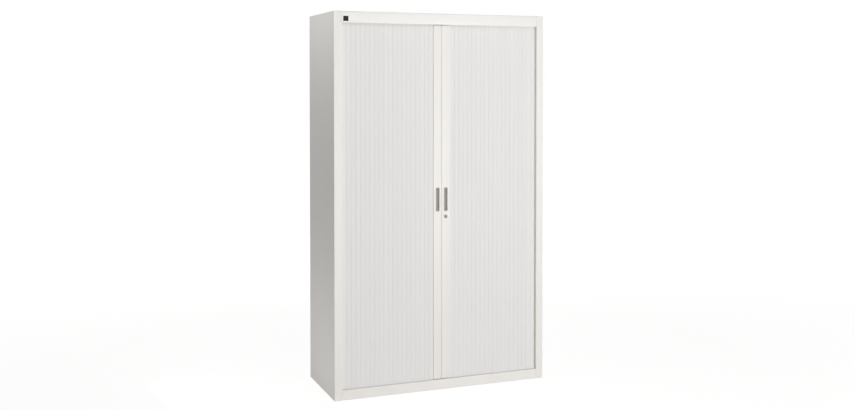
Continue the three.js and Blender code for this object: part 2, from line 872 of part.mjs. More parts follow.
// Lock core: turned by the key, with a keyway in its face and a square that drives the hook.
function lockCore() {
  const core = turned([
    spot(0, lock_core_recess - lock_rim),
    spot(lock_core_radius, lock_core_recess - lock_rim),
    spot(lock_core_radius, lock_body_length - seat),
    spot(0, lock_body_length - seat),
  ]);
  const drive_end = lock_body_length + seat + hook_plate;
  const drive = prism(squareShape(drive_square), 'y', lock_body_length - seat * 2, drive_end);
  const keyway_shape = rectangle(
    -key_slot_width / 2, key_slot_width / 2, -key_slot_length / 2, key_slot_length / 2,
  );
  const keyway = prism(
    keyway_shape, 'y', -lock_rim - overrun, lock_core_recess - lock_rim + key_slot_depth,
  );
  return shaped([core, drive], [keyway]);
}

// Hook: a flat lever that hangs inside the right stile and swings up into the left one, where its
// barb stands behind the keeper.
function lockHook() {
  const half = hook_width / 2;
  const tip = -hook_reach;
  const barb = -half - hook_barb;
  const outline = new THREE.Shape();
  outline.absarc(0, 0, half, 0, Math.PI);
  outline.lineTo(-half, tip + hook_barb_length);
  outline.lineTo(barb, tip + hook_barb_length);
  outline.lineTo(barb, tip + hook_barb_length / 2);
  outline.lineTo(-half, tip);
  outline.lineTo(half, tip);
  const square = drive_square / 2 + seat;
  outline.holes.push(new THREE.Path([
    spot(-square, -square), spot(-square, square), spot(square, square), spot(square, -square),
  ]));
  const from = lock_body_length + seat;
  return prism(outline, 'y', from, from + hook_plate, corner_steps);
}

function hookScrew() {
  const from = lock_body_length + seat * 2 + hook_plate;
  const head = hook_screw_head;
  return turned([
    spot(0, from),
    spot(hook_screw_radius, from),
    spot(hook_screw_radius, from + head / 2),
    spot(hook_screw_radius - head / 2, from + head),
    spot(0, from + head),
  ]);
}

// Keeper: a slotted plate against the inside of the left stile's meeting flank.
function keeper() {
  const x_high = -stile_inner - stile_wall - seat;
  const x_low = x_high - keeper_plate;
  const middle_z = (hook_slot_top + hook_slot_bottom) / 2;
  const plate = rectangle(
    hook_middle - keeper_depth / 2 + hook_slot_half, hook_middle + keeper_depth / 2 - hook_slot_half,
    middle_z - keeper_height / 2, middle_z + keeper_height / 2,
  );
  const cut = hookSlot(x_low - overrun, x_high + overrun);
  return shaped([prism(plate, 'x', x_low, x_high)], [cut]);
}

const cabinet = new THREE.Group();

// Carcass
addPiece(cabinet, 'top_panel', topPanel(), white);
addPiece(cabinet, 'header_rail', headerRail(), white);
addPiece(cabinet, 'bottom_rail', bottomRail(), white);
addPiece(cabinet, 'base_deck', levelPanel(front + steel + seat, deck_top - steel), inner_white);
addPiece(cabinet, 'ceiling_panel', levelPanel(front + steel + seat, ceiling_base), inner_white);
addPiece(cabinet, 'back_panel', backPanel(), white);
addPiece(cabinet, 'false_back', falseBack(), inner_white);
for (const { word, sign } of sides) {
  addPiece(cabinet, `side_panel_${word}`, sidePanel(sign), white);
  addPiece(cabinet, `side_liner_${word}`, sideLiner(sign), inner_white);
  addPiece(cabinet, `base_channel_${word}`, baseChannel(), zinc, sign * channel_centre);
  const foot_words = ['front', 'rear'];
  foot_words.forEach((end, i) => {
    const y = foot_places[i];
    addPiece(cabinet, `foot_${end}_${word}`, foot(), black_plastic, sign * channel_centre, y);
    const upright_y = upright_places[i];
    addPiece(cabinet, `shelf_upright_${end}_${word}`, upright(sign), zinc, 0, upright_y);
  });
  const upper = track(sign, 1);
  const lower = track(sign, -1);
  addPiece(cabinet, `upper_track_${word}`, upper, track_grey, 0, 0, upper_track_base);
  addPiece(cabinet, `lower_track_${word}`, lower, track_grey, 0, 0, lower_track_top);
}

// Shelves, from the bottom up
shelf_place_shares.forEach((share, i) => {
  const top = shelfTop(share);
  addPiece(cabinet, `shelf_${i + 1}`, shelf(), inner_white, 0, 0, top);
  for (const { word, sign } of sides) {
    const hook_floor = slot_bottom + slot_pitch * shelfSlot(share) + seat;
    const bracket = shelfBracket(sign);
    addPiece(cabinet, `shelf_bracket_${i + 1}_${word}`, bracket, zinc, 0, 0, hook_floor);
  }
});

// Doors
for (const { word, sign } of sides) {
  const door = new THREE.Group();
  cabinet.add(door);
  addPiece(door, `curtain_${word}`, curtain(sign), slat_white);
  addPiece(door, `stile_${word}`, stile(sign, sign > 0), white);
  addPiece(door, `grip_${word}`, grip(), grip_grey, sign * grip_x, stile_face, grip_centre_height);
  const lower_reach = stile_bottom - curtain_bottom;
  const upper_reach = curtain_top - stile_top;
  const lower_shoe = glideShoe(sign, lower_reach, false);
  const upper_shoe = glideShoe(sign, upper_reach, true);
  addPiece(door, `lower_shoe_${word}`, lower_shoe, track_grey, 0, 0, stile_bottom);
  addPiece(door, `upper_shoe_${word}`, upper_shoe, track_grey, 0, 0, stile_top);
}
addPiece(cabinet, 'lock_keeper', keeper(), zinc);

// Lock
const lock = new THREE.Group();
lock.position.set(lock_x, stile_face, lock_height);
cabinet.add(lock);
addPiece(lock, 'lock_housing', lockHousing(), nickel);
addPiece(lock, 'lock_nut', lockNut(), zinc);
addPiece(lock, 'lock_core', lockCore(), nickel);
addPiece(lock, 'lock_hook', lockHook(), zinc);
addPiece(lock, 'hook_screw', hookScrew(), zinc);

export default cabinet;
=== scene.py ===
"""Looks of a tall steel cupboard with two tambour doors, built round its CAD frame.

The cupboard stands on z = 0, its doors face -Y, and all sizes are in metres. Folded steel, door
stiles, finger grips, lock, curtains of slats and levelling feet are modelled here. The shelves,
liners, tracks and other inner pieces are the frame's own nodes in new finishes.
"""

import json
import logging
import math
from collections.abc import Callable, Sequence
from dataclasses import dataclass
from enum import Enum
from typing import NamedTuple

import bmesh
import bpy
from mathutils import Matrix, Vector


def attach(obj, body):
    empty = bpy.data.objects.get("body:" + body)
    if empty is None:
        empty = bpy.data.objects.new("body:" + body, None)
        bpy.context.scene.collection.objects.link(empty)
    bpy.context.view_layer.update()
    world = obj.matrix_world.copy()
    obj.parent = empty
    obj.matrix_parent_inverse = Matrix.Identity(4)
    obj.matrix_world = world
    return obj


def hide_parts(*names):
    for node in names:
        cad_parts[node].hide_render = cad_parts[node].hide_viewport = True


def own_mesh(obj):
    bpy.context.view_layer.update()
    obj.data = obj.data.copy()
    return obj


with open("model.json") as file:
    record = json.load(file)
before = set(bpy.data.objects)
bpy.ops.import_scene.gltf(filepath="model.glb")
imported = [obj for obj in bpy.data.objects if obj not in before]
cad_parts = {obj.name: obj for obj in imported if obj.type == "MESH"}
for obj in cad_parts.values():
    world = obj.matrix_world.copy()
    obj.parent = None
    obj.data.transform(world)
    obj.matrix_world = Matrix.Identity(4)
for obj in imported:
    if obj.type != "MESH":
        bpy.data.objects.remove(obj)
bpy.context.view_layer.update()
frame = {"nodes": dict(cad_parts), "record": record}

log = logging.getLogger("cupboard")

Point = tuple[float, float]
Place = tuple[float, float, float]
Colour = tuple[float, float, float]
Rule = Callable[[bmesh.types.BMFace | bmesh.types.BMEdge], bool]
Socket = bpy.types.NodeSocket
Values = dict[str | int, object] | None
TOUCH = 1e-6
PARALLEL = 0.999
OVERRUN = 0.005


class Side(Enum):
    """The two halves of the cupboard, with the sign of x on each."""

    LEFT = -1
    RIGHT = 1

    @property
    def word(self) -> str:
        """The word that names this side's nodes."""
        return self.name.lower()


class Axis(Enum):
    """An axis of the cupboard's frame."""

    X = 0
    Y = 1
    Z = 2

    def place(self, across: float, up: float, distance: float) -> Vector:
        """The point in space of a profile point and a distance along the axis."""
        profile = (across, up)
        return Vector((*profile[:self.value], distance, *profile[self.value:]))

    def along(self, edge: bmesh.types.BMEdge) -> bool:
        """True for an edge that runs along this axis."""
        return abs((edge.verts[0].co - edge.verts[1].co).normalized()[self.value]) > PARALLEL

    def facing(self, face: bmesh.types.BMFace) -> bool:
        """True for a face that looks the way this axis points."""
        return face.normal[self.value] > PARALLEL


# Sizes that the frame gives


class Box(NamedTuple):
    """The space that a CAD node takes at rest, from its lowest to its highest corner."""

    low: Vector
    high: Vector

    @classmethod
    def of(cls, name: str, decimals: int = 5) -> "Box":
        """Measures a node.

        Args:
            name: The node's name.
            decimals: The decimals of a metre that are kept.

        Returns:
            Its box.
        """
        node = frame["nodes"][name]
        corners = [node.matrix_world @ Vector(corner) for corner in node.bound_box]
        ends = ([round(end(values), decimals) for values in zip(*corners)] for end in (min, max))
        return cls(*map(Vector, ends))

    @property
    def middle(self) -> Vector:
        """Its middle."""
        return (self.low + self.high) / 2

    @property
    def size(self) -> Vector:
        """Its length along each axis."""
        return self.high - self.low


LID = Box.of("top_panel")
PANEL = Box.of("side_panel_right")
BACK = Box.of("back_panel")
HEADER = Box.of("header_rail")
RAIL = Box.of("bottom_rail")
STILE = Box.of("stile_right")
CURTAIN = Box.of("curtain_right")
HOUSING = Box.of("lock_housing")
SLAT_CREST = 0.0034
CURTAIN_LINE = CURTAIN.low.y + SLAT_CREST


# Shader building


class Signal:
    """A shader value. Arithmetic on it adds the Math nodes of the expression."""

    def __init__(self, shader: "Shader", socket: Socket) -> None:
        """Wraps an output socket of one material's tree."""
        self.shader = shader
        self.socket = socket

    def _math(self, operation: str, first: object, second: object, clamp: bool = False) -> "Signal":
        """Adds one Math node on two values, each a Signal or a number."""
        how = {"operation": operation, "use_clamp": clamp}
        return Signal(self.shader, self.shader.add("ShaderNodeMath", how, {0: first, 1: second}).outputs[0])

    def __add__(self, other: object) -> "Signal":
        """The sum with another value."""
        return self._math("ADD", self, other)

    def __sub__(self, other: object) -> "Signal":
        """The difference from another value."""
        return self._math("SUBTRACT", self, other)

    def __rsub__(self, other: object) -> "Signal":
        """The difference of a number and this value."""
        return self._math("SUBTRACT", other, self)

    def __mul__(self, other: object) -> "Signal":
        """The product with another value."""
        return self._math("MULTIPLY", self, other)

    __radd__ = __add__
    __rmul__ = __mul__

    def limit(self) -> "Signal":
        """This value kept between zero and one."""
        return self._math("ADD", self, 0.0, clamp=True)

    def swing(self, spread: float, middle: float = 0.5) -> "Signal":
        """Noise around one half, turned into values around another middle."""
        return self * spread + (middle - spread / 2)


@dataclass(frozen=True)
class Grain:
    """A noise pattern: features per metre, finer layers and how much closer they lie on each axis."""

    per_metre: float
    layers: float = 2
    stretch: Place = (1, 1, 1)


class Shader:
    """The node tree of one material, or of the world."""

    def __init__(self, owner: bpy.types.Material | bpy.types.World, output: str) -> None:
        """Empties the owner's tree and adds its output node.

        Args:
            owner: The material or the world.
            output: The output node's type.
        """
        owner.use_nodes = True
        self.owner = owner
        self.tree = owner.node_tree
        self.tree.nodes.clear()
        self.output = self.add(output)

    @classmethod
    def for_material(cls, name: str) -> "Shader":
        """Starts a new material."""
        return cls(bpy.data.materials.new(name), "ShaderNodeOutputMaterial")

    @classmethod
    def for_world(cls, name: str) -> "Shader":
        """Starts a new world and makes it the scene's."""
        bpy.context.scene.world = bpy.data.worlds.new(name)
        return cls(bpy.context.scene.world, "ShaderNodeOutputWorld")

    def add(self, kind: str, settings: Values = None, sockets: Values = None) -> bpy.types.Node:
        """Adds a node of any type.

        Args:
            kind: The node's type.
            settings: Its properties, set first.
            sockets: Its inputs by name or number, each a Signal, a socket or a plain value.

        Returns:
            The new node.
        """
        node = self.tree.nodes.new(kind)
        for name, value in (settings or {}).items():
            setattr(node, name, value)
        for key, value in (sockets or {}).items():
            if isinstance(value, Signal):
                value = value.socket
            if isinstance(value, Socket):
                self.tree.links.new(value, node.inputs[key])
            else:
                node.inputs[key].default_value = value
        return node

    def places(self, stretch: Place = (1, 1, 1)) -> Socket:
        """Object coordinates, scaled along each axis by the stretch."""
        sockets = {"Vector": self.add("ShaderNodeTexCoord").outputs["Object"], "Scale": stretch}
        return self.add("ShaderNodeMapping", None, sockets).outputs["Vector"]

    def noise(self, grain: Grain) -> Signal:
        """Soft noise around one half, in the given pattern."""
        sockets = {"Vector": self.places(grain.stretch), "Scale": grain.per_metre, "Detail": grain.layers}
        return Signal(self, self.add("ShaderNodeTexNoise", None, sockets).outputs["Fac"])

    def blend(self, share: Signal, low: Colour | Socket, high: Colour) -> Socket:
        """Mixes two colours.

        Args:
            share: Zero for the first colour and one for the second.
            low: The first colour, or the socket of an earlier mix.
            high: The second colour.

        Returns:
            The mixed colour's socket.
        """
        first = low if isinstance(low, Socket) else (*low, 1.0)
        settings = {"data_type": "RGBA", "clamp_factor": True}
        return self.add("ShaderNodeMix", settings, {0: share, 6: first, 7: (*high, 1.0)}).outputs[2]

    def tones(self, share: Signal, colour: Colour, spread: float) -> Socket:
        """Mixes a darker and a lighter tone of a colour, each that spread away from it."""
        return self.blend(share, shade(colour, 1 - spread), shade(colour, 1 + spread))

    def bump(self, height: Signal, strength: float, distance: float) -> Socket:
        """A surface normal from a height, where a value of one stands for the distance in metres."""
        sockets = {"Height": height, "Strength": strength, "Distance": distance}
        return self.add("ShaderNodeBump", None, sockets).outputs["Normal"]

    def surface(self, **sockets: object) -> bpy.types.Material:
        """Ends the tree in a Principled shader, whose inputs are named with underscores for spaces."""
        named = {name.replace("_", " "): value for name, value in sockets.items()}
        return self.end(self.add("ShaderNodeBsdfPrincipled", None, named))

    def end(self, node: bpy.types.Node) -> bpy.types.Material | bpy.types.World:
        """Links the last node to the output and gives back the tree's owner."""
        self.tree.links.new(node.outputs[0], self.output.inputs["Surface"])
        return self.owner


def shade(colour: Colour, factor: float) -> Colour:
    """A colour made lighter or darker by a factor."""
    return tuple(min(1.0, part * factor) for part in colour)


# Finishes


@dataclass(frozen=True)
class Finish:
    """A surface that varies with soft clouds and with a fine pattern, which is also its relief."""

    name: str
    colour: Colour
    roughness: float
    tone_spread: float
    cloud: Grain
    fine: Grain
    strength: float
    height: float
    cloud_tone: float = 1
    fine_tone: float = 0
    cloud_roughness: float = 0
    fine_roughness: float = 0
    metallic: float = 0
    specular: float = 0.5

    def tint(self, shader: Shader, tone: Signal) -> Socket:
        """The colour's socket, for a tone around one half."""
        return shader.tones(tone, self.colour, self.tone_spread)

    def relief(self, shader: Shader, fine: Signal) -> Signal:
        """The height of the surface."""
        return fine

    def make(self) -> bpy.types.Material:
        """Builds the material.

        Returns:
            The material.
        """
        shader = Shader.for_material(self.name)
        cloud, fine = shader.noise(self.cloud), shader.noise(self.fine)
        tone = cloud.swing(self.cloud_tone) + fine.swing(self.fine_tone, 0)
        return shader.surface(
            Base_Color=self.tint(shader, tone),
            Metallic=self.metallic,
            Roughness=cloud.swing(self.cloud_roughness, self.roughness) + fine.swing(self.fine_roughness, 0),
            Specular_IOR_Level=self.specular,
            Normal=shader.bump(self.relief(shader, fine), self.strength, self.height),
        )


@dataclass(frozen=True)
class PowderCoat(Finish):
    """Baked powder paint on sheet steel: faint orange peel and a slight cloudiness."""

    roughness: float = 0.42
    tone_spread: float = 0.012
    cloud: Grain = Grain(2.6, 3)
    fine: Grain = Grain(420)
    strength: float = 0.35
    height: float = 0.00006
    cloud_tone: float = 1.8
    cloud_roughness: float = 0.08


@dataclass(frozen=True)
class SlatPlastic(Finish):
    """Extruded matt slat: die lines run up it, and slats differ a hair in tone."""

    roughness: float = 0.56
    tone_spread: float = 0.012
    cloud: Grain = Grain(38, 1, (1, 1, 0.006))
    fine: Grain = Grain(520, 1, (1, 1, 0.004))
    strength: float = 0.25
    height: float = 0.00004
    cloud_tone: float = 1.6
    fine_tone: float = 0.6
    fine_roughness: float = 0.08
    grain: Grain = Grain(1400, 1)
    line_share: float = 0.7

    def relief(self, shader: Shader, fine: Signal) -> Signal:
        """The height of the surface, with some grain among the die lines."""
        return fine * self.line_share + shader.noise(self.grain) * (1 - self.line_share)


@dataclass(frozen=True)
class StileCoat(Finish):
    """Coated aluminium extrusion, smoother and a little glossier than the painted steel."""

    roughness: float = 0.34
    tone_spread: float = 0.01
    cloud: Grain = Grain(3.5)
    fine: Grain = Grain(700, 1, (1, 1, 0.003))
    strength: float = 0.15
    height: float = 0.00003
    fine_roughness: float = 0.06


@dataclass(frozen=True)
class MouldedPlastic(Finish):
    """Moulded plastic with a fine spark-eroded grain."""

    roughness: float = 0.5
    tone_spread: float = 0.04
    cloud: Grain = Grain(14)
    fine: Grain = Grain(1800)
    strength: float = 0.3
    height: float = 0.00004
    fine_roughness: float = 0.1


@dataclass(frozen=True)
class CupPlastic(MouldedPlastic):
    """Grey moulding of the finger cups, with painted light and shade by depth: the rim in its grey, the
    walls painted pale against the well's shade, the floor painted a tone between the two.
    """

    # Painted light: a pale tone that lifts the shade on the well's walls.
    wall: Colour = (0.78, 0.755, 0.72)
    # Painted shade: the well's floor is darker than the painted walls.
    floor: Colour = (0.395, 0.38, 0.36)
    roughness: float = 0.42
    rim_fade: float = 0.003
    floor_start: float = 0.0105
    floor_fade: float = 0.0015

    def tint(self, shader: Shader, tone: Signal) -> Socket:
        """Paints light and shade by depth: the rim's colour, then the pale painted wall, then the floor's
        painted tone.

        Args:
            shader: The material's tree.
            tone: Left out, because the cups show no clouds.

        Returns:
            The colour's socket.
        """
        place = shader.add("ShaderNodeSeparateXYZ", None, {"Vector": shader.places()})
        depth = Signal(shader, place.outputs["Y"]) - STILE.low.y
        # Painted light: the colour lightens from the rim's grey to the pale wall just below the rim.
        inside = shader.blend(depth * (1 / self.rim_fade), self.colour, self.wall)
        # Painted shade: deeper in the well the colour darkens to the floor's tone.
        low = ((depth - self.floor_start) * (1 / self.floor_fade)).limit()
        return shader.blend(low, inside, self.floor)


@dataclass(frozen=True)
class PlatedMetal(Finish):
    """Plated metal, with fine polishing lines or the soft patches of zinc."""

    roughness: float = 0.3
    tone_spread: float = 0.08
    cloud: Grain = Grain(90, 3)
    fine: Grain = Grain(900)
    strength: float = 0.2
    height: float = 0.00003
    cloud_tone: float = 1.6
    cloud_roughness: float = 0.12
    fine_roughness: float = 0.1
    metallic: float = 1


@dataclass(frozen=True)
class EnamelPlate(Finish):
    """Dull baked enamel on a small bare plate."""

    roughness: float = 0.5
    tone_spread: float = 0.2
    cloud: Grain = Grain(160)
    fine: Grain = Grain(160)
    strength: float = 0.1
    height: float = 0.0001
    cloud_roughness: float = 0.08
    specular: float = 0.18


FINISHES = {
    "white_steel": PowderCoat("powder_white", (0.857, 0.835, 0.807)),
    "inner_steel": PowderCoat("powder_inner", (0.8, 0.79, 0.77), roughness=0.48),
    "stile_white": StileCoat("stile_coat", (0.841, 0.822, 0.788)),
    "slat_plastic": SlatPlastic("slat_matt", (0.806, 0.802, 0.793)),
    "track_plastic": MouldedPlastic("track_grey", (0.62, 0.62, 0.61)),
    # The cup finish paints light and shade into the colour by depth.
    "grip_grey": CupPlastic("grip_silver", (0.33, 0.315, 0.3)),
    "nickel": PlatedMetal(
        "satin_nickel", (0.155, 0.145, 0.135), roughness=0.4, fine=Grain(900, 2, (1, 1, 0.08))
    ),
    "zinc_steel": PlatedMetal("bright_zinc", (0.58, 0.59, 0.6), roughness=0.38),
    "black_plastic": MouldedPlastic("foot_black", (0.025, 0.025, 0.026), roughness=0.55),
}
# Painted light: a lighter copy of the white powder coat, so the header reads brighter than the rest of the
# steel.
HEADER_WHITE_PAINTED_LIGHT = PowderCoat("powder_header", (0.895, 0.893, 0.865))
PLATE_BLACK = EnamelPlate("plate_black", (0.01125, 0.01125, 0.01188))


# Modelling


class Work:
    """One piece in the making, shaped with the edit-mode operators."""

    def __init__(self, name: str) -> None:
        """Takes the object that an operator has just added.

        Args:
            name: The name that it gets.
        """
        self.object = bpy.context.active_object
        self.object.name = name
        self.object.data.name = name

    @staticmethod
    def clear_selection() -> None:
        """Deselects every object."""
        for item in bpy.context.selected_objects:
            item.select_set(False)

    @classmethod
    def block(cls, name: str, low: Sequence[float], high: Sequence[float]) -> "Work":
        """Starts from a cube.

        Args:
            name: The piece's name.
            low: Its lowest corner.
            high: Its highest corner.

        Returns:
            The piece.
        """
        cls.clear_selection()
        middle = [(a + b) / 2 for a, b in zip(low, high)]
        size = [b - a for a, b in zip(low, high)]
        bpy.ops.mesh.primitive_cube_add(size=1, location=middle, scale=size)
        return cls(name).settle()

    @classmethod
    def rod(
        cls, name: str, radius: float, axis: Axis, centre: Point, low: float, high: float, sides: int = 48
    ) -> "Work":
        """Starts from a cylinder.

        Args:
            name: The piece's name.
            radius: Its radius.
            axis: The direction that it lies along, Y or Z.
            centre: Its middle across the axis.
            low: Where it starts along the axis.
            high: Where it ends.
            sides: How many flats it has.

        Returns:
            The piece.
        """
        cls.clear_selection()
        place = axis.place(*centre, (low + high) / 2)
        turn = (math.pi / 2 if axis is Axis.Y else 0, 0, 0)
        bpy.ops.mesh.primitive_cylinder_add(
            vertices=sides, radius=radius, depth=high - low, location=place, rotation=turn
        )
        return cls(name).settle()

    @classmethod
    def strip(cls, name: str, corners: Sequence[Point], axis: Axis, low: float, high: float) -> "Work":
        """Starts from a plane and extrudes its edge along the rest of a profile.

        Args:
            name: The piece's name.
            corners: The profile's points in order.
            axis: The direction that the profile is drawn out along.
            low: Where it starts along the axis.
            high: Where it ends.

        Returns:
            The open strip, with its last edge selected.
        """
        cls.clear_selection()
        points = [axis.place(*corner, 0) for corner in corners]
        way = (points[1] - points[0]).normalized()
        along = axis.place(0, 0, 1)
        turn = Matrix((way, along, way.cross(along))).transposed().to_euler()
        middle = (points[0] + points[1]) / 2 + along * (low + high) / 2
        bpy.ops.mesh.primitive_plane_add(size=1, location=middle, rotation=turn)
        bpy.context.active_object.scale = ((points[1] - points[0]).length, high - low, 1)
        work = cls(name).settle()
        work.select("EDGE", lambda edge: all(
            (v.co - points[1] - along * (v.co - points[1]).dot(along)).length < TOUCH for v in edge.verts
        ))
        for here, there in zip(points[1:], points[2:]):
            bpy.ops.mesh.extrude_edges_move(TRANSFORM_OT_translate={"value": there - here})
        return work.done()

    def settle(self) -> "Work":
        """Puts the object's place, turn and scale into its mesh."""
        bpy.ops.object.transform_apply(location=True, rotation=True, scale=True)
        return self

    def use(self) -> None:
        """Makes this the only selected object, and the active one."""
        self.clear_selection()
        self.object.select_set(True)
        bpy.context.view_layer.objects.active = self.object

    def edit(self, kind: str, action: str = "DESELECT") -> bmesh.types.BMesh:
        """Enters edit mode.

        Args:
            kind: VERT, EDGE or FACE.
            action: DESELECT to start with nothing selected, or SELECT for all.

        Returns:
            The edit mesh.
        """
        self.use()
        bpy.ops.object.mode_set(mode="EDIT")
        bpy.ops.mesh.select_mode(type=kind)
        bpy.ops.mesh.select_all(action=action)
        return bmesh.from_edit_mesh(self.object.data)

    def select(self, kind: str, rule: Rule) -> None:
        """Enters edit mode and selects the faces or edges that a rule picks.

        Args:
            kind: EDGE or FACE.
            rule: True for one that is wanted.
        """
        mesh = self.edit(kind)
        picked = [part for part in (mesh.faces if kind == "FACE" else mesh.edges) if rule(part)]
        for part in picked:
            part.select_set(True)
        bmesh.update_edit_mesh(self.object.data)

    def done(self) -> "Work":
        """Leaves edit mode."""
        bpy.ops.object.mode_set(mode="OBJECT")
        return self

    def push(self, rule: Rule, inset: float, move: Sequence[float]) -> "Work":
        """Insets the picked faces and draws them out or in.

        Args:
            rule: True for a face that is wanted.
            inset: How far its border moves in.
            move: How far the inner face then moves.

        Returns:
            The piece.
        """
        self.select("FACE", rule)
        if inset:
            bpy.ops.mesh.inset(thickness=inset)
        bpy.ops.mesh.extrude_region_move(TRANSFORM_OT_translate={"value": move})
        return self.done()

    def taper(self, rule: Rule, share: Sequence[float], centre: Sequence[float]) -> "Work":
        """Scales the picked faces about a point.

        Args:
            rule: True for a face that is wanted.
            share: The scale along each axis.
            centre: The point.

        Returns:
            The piece.
        """
        self.select("FACE", rule)
        bpy.ops.transform.resize(value=share, center_override=centre)
        return self.done()

    def round_edges(self, rule: Rule, width: float, segments: int) -> "Work":
        """Rounds the picked edges.

        Args:
            rule: True for an edge that is wanted.
            width: The radius on a square edge.
            segments: How many facets the round has.

        Returns:
            The piece.
        """
        self.select("EDGE", rule)
        bpy.ops.mesh.bevel(offset=width, segments=segments, affect="EDGES")
        return self.done()

    def apply(self, kind: str, **settings: object) -> "Work":
        """Adds a modifier and applies it.

        Args:
            kind: The modifier's type.
            **settings: Its properties.

        Returns:
            The piece.
        """
        self.use()
        modifier = self.object.modifiers.new(kind.lower(), kind)
        for name, value in settings.items():
            setattr(modifier, name, value)
        bpy.ops.object.modifier_apply(modifier=modifier.name)
        return self

    def combine(self, operation: str, *tools: "Work") -> "Work":
        """Adds other pieces to this one or cuts them out of it, and removes them.

        Args:
            operation: UNION or DIFFERENCE.
            *tools: The other pieces.

        Returns:
            The piece.
        """
        for tool in tools:
            self.apply("BOOLEAN", operation=operation, solver="EXACT", object=tool.object)
            bpy.data.objects.remove(tool.object)
        return self

    def soften(self, width: float, segments: int = 2, angle: float = 40) -> "Work":
        """Breaks every sharp edge with a small round.

        Args:
            width: The round's radius.
            segments: How many facets it has.
            angle: The least angle, in degrees, of an edge that counts as sharp.

        Returns:
            The piece.
        """
        return self.apply(
            "BEVEL", width=width, segments=segments, limit_method="ANGLE", angle_limit=math.radians(angle)
        )

    def tidy(self, angle: float = 35) -> "Work":
        """Merges doubles, points all faces outwards and smooths the rounds.

        Args:
            angle: The greatest angle, in degrees, that is smoothed over.

        Returns:
            The piece.
        """
        self.edit("VERT", "SELECT")
        bpy.ops.mesh.remove_doubles(threshold=TOUCH)
        bpy.ops.mesh.normals_make_consistent(inside=False)
        self.done()
        bpy.ops.object.shade_smooth_by_angle(angle=math.radians(angle))
        return self.apply("WEIGHTED_NORMAL", keep_sharp=True)

    def copy(self, name: str, place: Vector, turn: float = 0) -> "Work":
        """Copies the piece with a mesh of its own.

        Args:
            name: The copy's name.
            place: How far it moves.
            turn: Its turn about the upright through the origin, in radians, before it moves.

        Returns:
            The copy.
        """
        self.use()
        bpy.ops.object.duplicate()
        work = Work(name)
        work.object.location = place
        work.object.rotation_euler = (0, 0, turn)
        return work.settle()

    def join(self, *others: "Work") -> "Work":
        """Joins other pieces into this one.

        Args:
            *others: The other pieces.

        Returns:
            The piece.
        """
        self.use()
        for other in others:
            other.object.select_set(True)
        bpy.ops.object.join()
        return self

    def dress(self, slot: str, body: str, *nodes: str, material: bpy.types.Material | None = None) -> None:
        """Gives the piece its material, its body and the nodes that it stands for.

        Args:
            slot: The record's material slot.
            body: The body that it rides on.
            *nodes: The CAD nodes that it replaces.
            material: A material of its own, or none for the slot's.
        """
        self.object.data.materials.clear()
        self.object.data.materials.append(material or bpy.data.materials[FINISHES[slot].name])
        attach(self.object, body)
        if nodes:
            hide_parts(*nodes)
        log.info("%s: %d faces on %s", self.object.name, len(self.object.data.polygons), body)


# The cupboard


